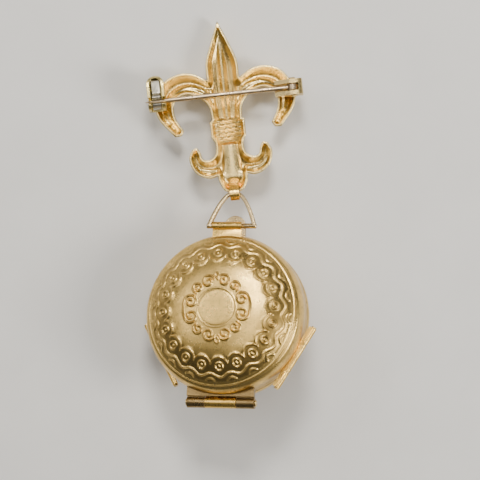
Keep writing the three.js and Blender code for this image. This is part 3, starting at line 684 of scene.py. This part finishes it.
# Patina on the border's ground and on the wreath's ground, and painted shade in a full groove: how dark each is.
BORDER_DARK, WREATH_DARK, GROOVE_SHADE = 0.17, 0.26, 0.5
BORDER_DARK_SLOPES = (6.9, 7.7), (10.2, 10.6)
WREATH_DARK_SLOPES = (2.5, 2.8), (4.6, 5.1)
DARK_UP_TO, DARK_FADE = -0.03, 0.11      # height of the darkest ground, and from there to clean metal
GROOVE_DEEP = 0.09


def polar(radius, angle):
    return np.stack([radius * np.cos(angle), radius * np.sin(angle)], -1)


def volute(ring, angle, start, sense, size):
    """A scroll about a point at that ring and angle, which keeps its size at first and then curls in."""
    t = np.linspace(0, 1, 30)
    r = size * (1 - SCROLL_CLOSE * t ** 1.5)
    return polar(ring, angle) + polar(r, start + sense * FULL_TURN * SCROLL_TURNS * t)


def wreath_lines():
    """Scrolls round the plain disc: a bracketed pair at each side, four above and four below."""
    lines = []
    for base in (0, math.pi):
        ring, off, size = SIDE_SCROLLS
        for sense in (-1, 1):
            at = base + sense * off
            lines.append((volute(ring, at, at, sense, size), *SCROLL_LINE))
        arc = np.linspace(-BRACKET_HALF, BRACKET_HALF, 15)
        lines.append((polar(BRACKET_R + BRACKET_BOW * np.cos(5 * arc), base + arc), *SCROLL_LINE))
    for base in (math.pi / 2, -math.pi / 2):
        for sense in (-1, 1):
            ring, off, size = NEAR_SCROLLS
            at = base + sense * off
            lines.append((volute(ring, at, at - sense * NEAR_START, sense, size), *SCROLL_LINE))
            ring, off, size = FAR_SCROLLS
            at = base + sense * off
            lines.append((volute(ring, at, at + sense * FAR_START, -sense, size), *SCROLL_LINE))
            t = np.linspace(0, 1, 9)
            leaf = polar(LEAF_R + LEAF_LONG * t, base + sense * LEAF_BOW * np.sin(math.pi * t))
            lines.append((leaf, *LEAF_LINE))
    return lines


def border_lines():
    """One motif of the border: its eye's ring, the scallop inside it, the wave outside, small arcs."""
    half = EYE_PITCH / 2
    around = np.linspace(0, FULL_TURN, 29)
    t = np.linspace(-1, 1, 33)
    scallop = EYE_R - SCALLOP_DEEP * np.sqrt(1 - (SCALLOP_SPAN * t) ** 2)
    wide = np.linspace(-1.6, 1.6, 41)
    wave = WAVE_R + WAVE_SWING * np.cos(wide * math.pi)
    lines = [(np.array([EYE_R, 0.0]) + polar(EYE_RING, around), *RING_LINE),
             (polar(scallop, t * half), *SCALLOP_LINE),
             (polar(wave, wide * half), *WAVE_LINE)]
    small = np.linspace(-ARC_HALF, ARC_HALF, 9)
    for side in (-1, 1):
        arc = polar(ARC_R + ARC_RISE * (small / ARC_HALF) ** 2, (side + small) * half)
        lines.append((arc, *ARC_LINE))
    return lines


def highest(points, lines):
    """Height of the tallest of the lines at each point."""
    height = np.zeros(len(points))
    for path, rise, width in lines:
        height = np.maximum(height, rise * ridge(distance(points, path), width))
    return height


def cover_relief(radius, angle):
    """Height of the ornament over its ground at each point, in millimetres."""
    height = np.zeros(len(radius))
    zone = (radius > WREATH_ZONE[0]) & (radius < WREATH_ZONE[1])
    height[zone] += highest(polar(radius[zone], angle[zone]), wreath_lines())
    zone = (radius > BORDER_ZONE[0]) & (radius < BORDER_ZONE[1])
    local = (angle[zone] + EYE_PITCH / 2) % EYE_PITCH - EYE_PITCH / 2
    motif = polar(radius[zone], local)
    border = highest(motif, border_lines())
    from_eye = np.hypot(motif[:, 0] - EYE_R, motif[:, 1])
    border = np.maximum(border, DOT_H * (1 - smooth_step(from_eye, *EYE_DOT)))
    height[zone] += border - BORDER_SUNK * plateau(radius[zone], *BORDER_SLOPES)
    for ring, rise, width in TURNED_LINES:
        height += rise * ridge(radius - ring, width)
    return height


def cover_hollow(ring, relief, on_dome):
    """How dark each point is: painted shade, most in the grooves, and patina on the ornament's ground."""
    in_border = plateau(ring, *BORDER_DARK_SLOPES)
    in_wreath = plateau(ring, *WREATH_DARK_SLOPES)
    low = np.clip(1 - (relief - DARK_UP_TO) / DARK_FADE, 0, 1)
    groove = GROOVE_SHADE * np.clip(-relief / GROOVE_DEEP, 0, 1)
    return np.maximum(low * (BORDER_DARK * in_border + WREATH_DARK * in_wreath), groove * on_dome)


# ---- the covers -----------------------------------------------------------------------------------
CASE_R = 11.5
CASE_H = 13.5
COVER_DEPTH = 5.9
DOME = 3.1
DOME_POWER = 3.3
SHOULDER = 2.1
SHEET = 0.55
WALL = 0.9
LEFT_FLAT = 10.8         # flat in the front cover's wall, behind the left hinge
COLUMNS = 760            # points round a cover
AXIS_R = 0.02            # the middle is one small face
MIDDLE_R = 2.4           # the plain disc
# Radii of the rings of points outside it: start, end and step, finest on the ornament.
RING_RUNS = ((2.5, 5.2, 0.075), (5.3, 6.9, 0.25), (6.95, 10.45, 0.075), (10.46, RIM_R, 0.05))
SHOULDER_FINE = 0.16     # share of the shoulder with closer rings
SHOULDER_BULGE = 0.9
FADE = (DOME + 0.05, DOME + 0.5)         # heights where the ornament ends
INSIDE_GAP = 0.1         # the sheet's extra thickness in the middle
INSIDE_SHARES = (1, 0.9, 0.7, 0.4, 0.02)
LIP_EASE, LIP_EASE_W = 0.06, 0.05
ORNAMENT_TWIST = math.radians(4)


def cover_profile():
    """The outside of a cover from its middle to its shoulder, as radius and height."""
    rings = np.concatenate([np.linspace(AXIS_R, MIDDLE_R, 8)] + [np.arange(*run) for run in RING_RUNS])
    outer = [(r, DOME * (r / RIM_R) ** DOME_POWER) for r in rings]
    for t in np.concatenate([np.linspace(0, SHOULDER_FINE, 7)[:-1], np.linspace(SHOULDER_FINE, 1, 12)]):
        outer.append(((1 - t) ** 2 * RIM_R + (1 - (1 - t) ** 2) * CASE_R,
                      DOME + SHOULDER * (SHOULDER_BULGE * t * (1 - t) + t * t)))
    return np.array(outer)


def cover_inside():
    """The rest of the profile: the wall, its lip and the inside of the dome."""
    inner = CASE_R - WALL
    rest = [(CASE_R, COVER_DEPTH - LIP_EASE), (CASE_R - LIP_EASE_W, COVER_DEPTH), (inner, COVER_DEPTH),
            (inner, DOME + SHOULDER)]
    rest += [(share * (RIM_R - SHEET), SHEET + INSIDE_GAP + DOME * share ** DOME_POWER)
             for share in INSIDE_SHARES]
    return np.array(rest)


def cover(name, turned_over, node_names):
    outer = cover_profile()
    run = unit(np.gradient(outer, axis=0))
    normal = np.stack([run[:, 1], -run[:, 0]], 1)
    angle = np.linspace(0, FULL_TURN, COLUMNS, endpoint=False)
    r, a = np.meshgrid(outer[:, 0], angle, indexing="ij")
    relief = cover_relief(r.ravel(), a.ravel() + ORNAMENT_TWIST).reshape(r.shape)
    on_dome = 1 - smooth_step(outer[:, 1:], *FADE)
    lift = (relief - GROUND) * on_dome
    rest = cover_inside()
    radius = np.concatenate([r + lift * normal[:, :1], np.repeat(rest[:, :1], COLUMNS, 1)])
    height = np.concatenate([outer[:, 1:] + lift * normal[:, 1:], np.repeat(rest[:, 1:], COLUMNS, 1)])
    if turned_over:
        points = np.stack([radius * np.cos(angle), -radius * np.sin(angle), CASE_H - height], -1)
    else:
        points = np.stack([radius * np.cos(angle), radius * np.sin(angle), height], -1)
        outwards = np.array([-math.sin(SIDE_TURN), math.cos(SIDE_TURN)])
        on_wall = height > DOME + SHOULDER - 0.01
        beyond = np.clip(points[..., :2] @ outwards - LEFT_FLAT, 0, None) * on_wall
        points[..., :2] -= beyond[..., None] * outwards
    rows = len(radius)
    faces = [face[::-1] for face in rows_to_faces(rows, COLUMNS)]
    faces += [first_row(COLUMNS), tuple(reversed(last_row(rows, COLUMNS)))]
    hollow = np.zeros(radius.shape)
    hollow[:len(outer)] = cover_hollow(outer[:, :1], relief, on_dome)
    mesh = mesh_of(name, points.reshape(-1, 3), faces, LOCKET, hollow.ravel())
    finish_piece(name, mesh, COVER_GOLD, node_names, sharp=60)


cover("back_cover_relief", True, ["back_cover_shell"])
cover("front_cover_relief", False, ["front_cover_shell"])

# ---- leaves, windows and pictures -----------------------------------------------------------------
for leaf in ("upper_leaf", "lower_leaf"):
    softened(leaf + "_tray", WALL_GOLD, 0.06)
for prefix in ("front_cover", "back_cover", "upper_leaf", "lower_leaf"):
    softened(prefix + "_bezel", WARM_GOLD, 0.03)
    for suffix, material in (("_photo", CARD), ("_window", CLEAR)):
        slots = frame["nodes"][prefix + suffix].data.materials
        slots.clear()
        slots.append(material)

# ---- hinges, tube and tab -------------------------------------------------------------------------
# dark brown for the painted shade under the case's brow
softened("bottom_hinge_cover_knuckles", SHADED_HINGE_GOLD, 0.07)
softened("bottom_hinge_leaf_knuckle", WARM_GOLD, 0.07)
for knuckles in ("right_hinge_upper_knuckles", "right_hinge_lower_knuckle",
                 "left_hinge_leaf_knuckles", "left_hinge_cover_knuckle"):
    softened(knuckles, WARM_GOLD, 0.05)
for hinge_pin in ("bottom_hinge_pin", "right_hinge_pin", "left_hinge_pin"):
    softened(hinge_pin, PALE_GOLD, 0.05)
softened("bail_tube", WARM_GOLD, 0.06)
softened("thumb_tab", BAIL_GOLD, 0.09)

# ---- floor and lights, in metres ------------------------------------------------------------------
FLOOR_HALF = 0.6
FLOOR_CLOUD = 90                     # per metre: faint clouds in the floor
FLOOR_DROP = 0.00004                 # keeps the floor clear of what stands on it
LIGHT_AIM = (0, -0.005, 0)
LIGHT_TINT = (1, 0.95, 0.86)
SKY_TINT = (0.60, 0.62, 0.66, 1)
SKY_STRENGTH = 0.16


def floor():
    mesh = bpy.data.meshes.new("floor")
    half = FLOOR_HALF
    corners = [(-half, -half, 0), (half, -half, 0), (half, half, 0), (-half, half, 0)]
    mesh.from_pydata(corners, [], [(0, 1, 2, 3)])
    obj = bpy.data.objects.new("floor", mesh)
    obj.location.z = -FLOOR_DROP
    bpy.context.scene.collection.objects.link(obj)
    mat, tree, bsdf = shader("pale_floor")
    color = ramp(tree, noise(tree, FLOOR_CLOUD), [(0.3, grey(0.84)), (0.7, grey(0.88))])
    tree.links.new(color, bsdf.inputs["Base Color"])
    bsdf.inputs["Roughness"].default_value = 0.9
    mesh.materials.append(mat)


def softbox(name, energy, size, at):
    data = bpy.data.lights.new(name, "AREA")
    data.shape = "RECTANGLE"
    data.size, data.size_y = size
    data.energy = energy
    data.color = LIGHT_TINT
    obj = bpy.data.objects.new(name, data)
    obj.location = at
    obj.rotation_euler = (Vector(LIGHT_AIM) - Vector(at)).to_track_quat("-Z", "Y").to_euler()
    bpy.context.scene.collection.objects.link(obj)


def sky():
    world = bpy.data.worlds.new("studio")
    world.use_nodes = True
    background = world.node_tree.nodes["Background"]
    background.inputs["Color"].default_value = SKY_TINT
    background.inputs["Strength"].default_value = SKY_STRENGTH
    bpy.context.scene.world = world


floor()
softbox("key", 1.25, (0.11, 0.09), (0.03, 0.27, 0.32))
softbox("left_fill", 0.50, (0.30, 0.16), (-0.28, 0.22, 0.30))
softbox("top", 0.30, (0.18, 0.20), (0.0, 0.07, 0.42))
softbox("side", 1.1, (0.12, 0.14), (0.31, -0.10, 0.26))
sky()

# ---- camera, in millimetres -----------------------------------------------------------------------
VIEW_LEAN = (0.022, 0.073)           # how far the view leans from straight down, in plan
VIEW_ROLL = math.radians(6.08)
VIEW_FAR = 300.0                     # from the camera to the plane where VIEW_WIDTH holds
VIEW_WIDTH = 68.2                    # across the frame
VIEW_LEVEL = 5.0                     # that plane, in front of the foot of the brooch
VIEW_CENTRE = (0.73, -6.98)          # frame's middle from the foot of the brooch, right and up
SENSOR = 36


def camera():
    back = Vector((*VIEW_LEAN, 0.0))
    back.z = math.sqrt(1 - back.length_squared)
    up = Vector((math.sin(VIEW_ROLL), math.cos(VIEW_ROLL), 0))
    up = (up - back * up.dot(back)).normalized()
    right = up.cross(back)
    data = bpy.data.cameras.new("view")
    data.sensor_width = SENSOR
    data.lens = SENSOR * VIEW_FAR / VIEW_WIDTH
    data.clip_start, data.clip_end = 0.01, 5
    obj = bpy.data.objects.new("view", data)
    offset = right * VIEW_CENTRE[0] + up * VIEW_CENTRE[1] + back * (VIEW_FAR + VIEW_LEVEL)
    at = BROOCH.to_translation() + offset * MM
    obj.matrix_world = Matrix.Translation(at) @ Matrix((right, up, back)).transposed().to_4x4()
    bpy.context.scene.collection.objects.link(obj)
    bpy.context.scene.camera = obj


camera()
